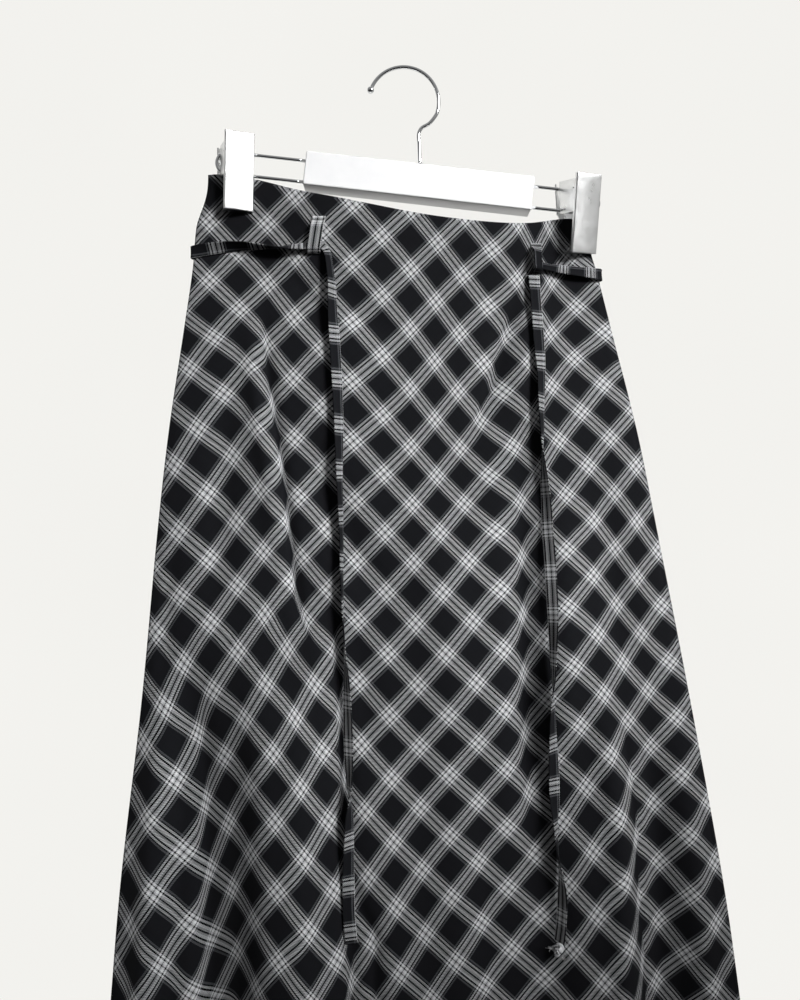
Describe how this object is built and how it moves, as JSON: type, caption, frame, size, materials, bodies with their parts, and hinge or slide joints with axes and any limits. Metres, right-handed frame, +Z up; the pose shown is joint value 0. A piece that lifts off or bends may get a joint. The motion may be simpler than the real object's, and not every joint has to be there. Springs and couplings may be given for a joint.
{
  "type": "checked skirt on a clip hanger",
  "caption": "Bias-cut A-line midi skirt in a woven check, with belt loops and a narrow tie belt hanging at the front, held by the clips of a skirt hanger.",
  "frame": {"origin": "where the inside of the hanger's hook rests on what it hangs from", "axes": "+Z up, +X to the right as the front is looked at, the front of the skirt faces -Y"},
  "size_m": [0.5626, 0.0651, 0.9122],
  "materials": {
    "check_cloth": "light suiting in a balanced twill, woven charcoal, grey and off-white check, cut on the bias",
    "tie_cloth": "the same check cloth cut on the straight grain, folded and pressed to a narrow strip",
    "white_bar": "smooth white with a soft gloss",
    "chrome_steel": "bright chrome plate, faintly scuffed on the clip plates"
  },
  "bodies": {
    "root": {"front_panel": "check_cloth", "back_panel": "check_cloth", "loop_front_left": "tie_cloth", "loop_front_right": "tie_cloth", "loop_back": "tie_cloth", "tie_hang_left": "tie_cloth", "tie_wrap_left": "tie_cloth", "tie_back": "tie_cloth", "tie_wrap_right": "tie_cloth", "tie_hang_right": "tie_cloth", "tie_knot": "tie_cloth", "hanger_bar": "white_bar", "rod_left": "chrome_steel", "rod_right": "chrome_steel", "hanger_hook": "chrome_steel", "clip_front_left": "chrome_steel", "clip_back_left": "chrome_steel", "clip_spring_left": "chrome_steel", "clip_front_right": "chrome_steel", "clip_back_right": "chrome_steel", "clip_spring_right": "chrome_steel"}
  },
  "joints": []
}
